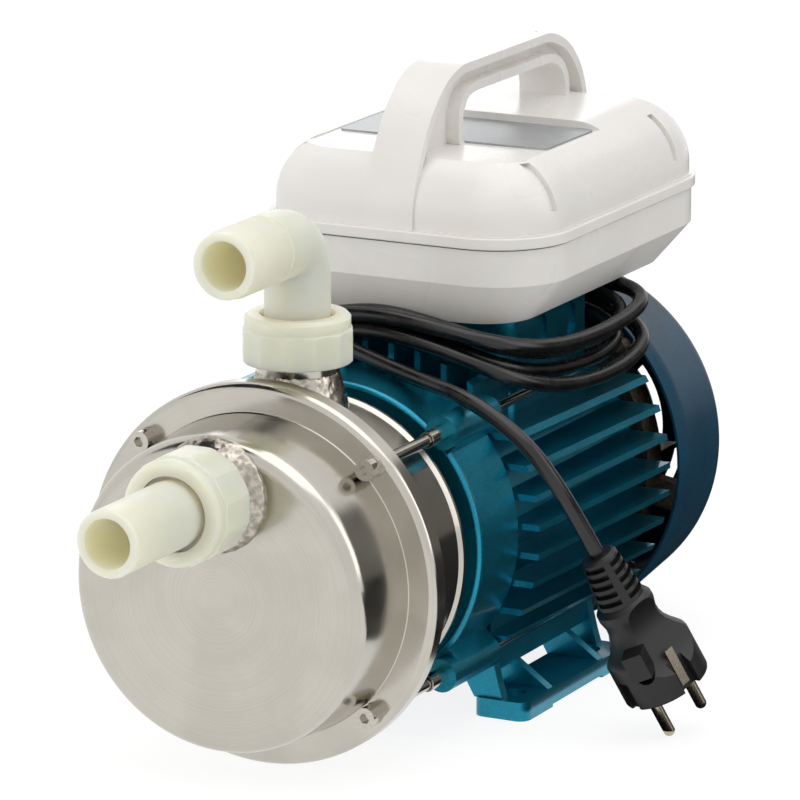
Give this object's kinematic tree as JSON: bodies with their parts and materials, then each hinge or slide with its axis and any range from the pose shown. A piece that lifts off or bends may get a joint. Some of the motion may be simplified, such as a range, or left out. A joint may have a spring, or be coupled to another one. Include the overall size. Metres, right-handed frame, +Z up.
{
  "type": "electric oil transfer pump",
  "caption": "Portable electric pump: stainless casing with two hose ports on a finned motor, with a switch box, carrying handle and mains lead.",
  "frame": {"origin": "on the standing surface, in the middle of the four foot bolt holes", "axes": "+X right seen from the pump end, +Y from the pump end to the fan end, +Z up"},
  "size_m": [0.2348, 0.418, 0.2613],
  "materials": {
    "polished_stainless": "polished",
    "zinc_steel": "bright zinc",
    "bearing_steel": "ground",
    "lamination_steel": "stacked sheet",
    "winding_copper": "enamelled wire",
    "blue_enamel": "metallic blue enamel",
    "raw_casting": "as cast",
    "fan_cover_enamel": "metallic blue enamel",
    "bronze": "as cast",
    "ivory_plastic": "moulded",
    "white_plastic": "moulded",
    "grey_plate": "plain foil",
    "black_rubber": "soft",
    "seal_ceramic": "lapped",
    "black_plastic": "moulded",
    "capacitor_shell": "moulded",
    "nickel": "nickel plated"
  },
  "bodies": {
    "pump": {"box_base": "white_plastic", "box_cover": "white_plastic", "box_gasket": "black_rubber", "box_screws": "zinc_steel", "cable_gland": "black_plastic", "capacitor": "capacitor_shell", "casing_gasket": "black_rubber", "cord_coil": "black_rubber", "cord_feed": "black_rubber", "cord_lead": "black_rubber", "cover_screws": "zinc_steel", "diffuser": "polished_stainless", "fan_cover": "fan_cover_enamel", "fan_cover_screws": "zinc_steel", "flange_screws": "zinc_steel", "front_bearing_outer": "bearing_steel", "front_casing": "polished_stainless", "handle_caps": "white_plastic", "inlet_stub": "polished_stainless", "inlet_washer": "black_rubber", "label_plate": "grey_plate", "motor_housing": "blue_enamel", "motor_shield": "blue_enamel", "outlet_stub": "polished_stainless", "outlet_washer": "black_rubber", "plug_body": "black_plastic", "plug_boot": "black_rubber", "plug_earth_clips": "nickel", "plug_pins": "nickel", "rear_bearing_outer": "bearing_steel", "rear_casing": "polished_stainless", "rear_shield": "raw_casting", "screw_washers": "zinc_steel", "seal_seat": "seal_ceramic", "spacer_sleeves": "zinc_steel", "stator_core": "lamination_steel", "stator_windings": "winding_copper", "switch_frame": "black_plastic", "terminal_block": "black_plastic", "tie_rod_nuts": "zinc_steel", "tie_rods": "zinc_steel", "wave_washer": "zinc_steel"},
    "rotor": {"shaft": "bearing_steel", "rotor_core": "lamination_steel", "impeller": "bronze", "impeller_nut": "zinc_steel", "seal_head": "black_rubber", "water_slinger": "black_rubber", "front_bearing_inner": "bearing_steel", "rear_bearing_inner": "bearing_steel", "fan": "black_plastic"},
    "front_balls": {"front_bearing_balls": "bearing_steel"},
    "rear_balls": {"rear_bearing_balls": "bearing_steel"},
    "inlet_union_nut": {"inlet_nut": "ivory_plastic"},
    "inlet_hose_tail": {"inlet_tail": "ivory_plastic"},
    "outlet_union_nut": {"outlet_nut": "ivory_plastic"},
    "outlet_hose_elbow": {"outlet_elbow": "ivory_plastic"},
    "rocker": {"switch_rocker": "black_plastic"}
  },
  "joints": [
    {"name": "rotor_spin", "type": "hinge", "parent": "pump", "child": "rotor", "pos_m": [0, -0.1315, 0.08], "axis": [0, 1, 0], "continuous": true},
    {"name": "front_ball_train", "type": "hinge", "parent": "pump", "child": "front_balls", "pos_m": [0, -0.075, 0.08], "axis": [0, 1, 0], "continuous": true},
    {"name": "rear_ball_train", "type": "hinge", "parent": "pump", "child": "rear_balls", "pos_m": [0, 0.0795, 0.08], "axis": [0, 1, 0], "continuous": true},
    {"name": "inlet_nut_turn", "type": "hinge", "parent": "pump", "child": "inlet_union_nut", "pos_m": [0, -0.214, 0.122], "axis": [0, -1, 0], "range_deg": [0, 1080]},
    {"name": "inlet_tail_swivel", "type": "hinge", "parent": "pump", "child": "inlet_hose_tail", "pos_m": [0, -0.247, 0.122], "axis": [0, -1, 0], "continuous": true},
    {"name": "outlet_nut_turn", "type": "hinge", "parent": "pump", "child": "outlet_union_nut", "pos_m": [0, -0.121, 0.171], "axis": [0, 0, 1], "range_deg": [0, 1080]},
    {"name": "outlet_elbow_swivel", "type": "hinge", "parent": "pump", "child": "outlet_hose_elbow", "pos_m": [0, -0.121, 0.2], "axis": [0, 0, 1], "continuous": true},
    {"name": "power_rocker", "type": "hinge", "parent": "pump", "child": "rocker", "pos_m": [0, 0.135, 0.1863], "axis": [1, 0, 0], "range_deg": [-9, 0]}
  ],
  "couplings": [
    {"joint": "front_ball_train", "follows": "rotor_spin", "ratio": 0.3818},
    {"joint": "rear_ball_train", "follows": "rotor_spin", "ratio": 0.3812}
  ]
}
